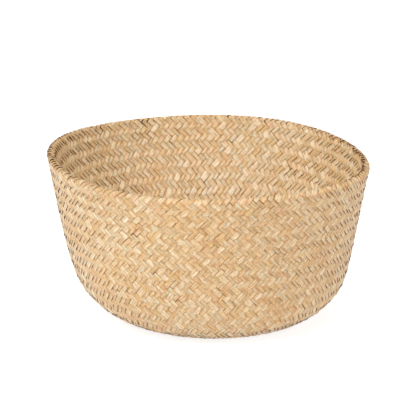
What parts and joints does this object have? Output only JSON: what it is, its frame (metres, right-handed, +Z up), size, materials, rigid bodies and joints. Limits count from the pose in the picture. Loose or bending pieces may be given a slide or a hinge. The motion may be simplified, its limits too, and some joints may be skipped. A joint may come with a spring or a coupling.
{
  "type": "belly basket",
  "caption": "Round plaited seagrass basket with a wide belly, its upper half folded down inside so that the belly makes a soft rounded rim.",
  "frame": {"origin": "middle of the flat underside of the base", "axes": "+Z up along the axis of the basket, +Y towards the back, -Y towards the viewer of the picture"},
  "size_m": [0.4198, 0.4198, 0.2119],
  "materials": {
    "straw_outside": "dry plaited grass strips, low satin sheen",
    "golden_inside": "dry plaited grass strips, warmer and matt"
  },
  "bodies": {
    "basket": {"base_mat": "straw_outside", "base_edge": "straw_outside", "heel": "straw_outside", "outer_side": "straw_outside", "belly_fold": "straw_outside", "inner_side": "golden_inside"},
    "mouth": {"mouth_hem": "golden_inside"}
  },
  "joints": [
    {"name": "mouth_pull_up", "type": "slide", "parent": "basket", "child": "mouth", "axis": [0, 0, 1], "range_m": [0, 0.285], "deforming": ["inner_side"]}
  ]
}
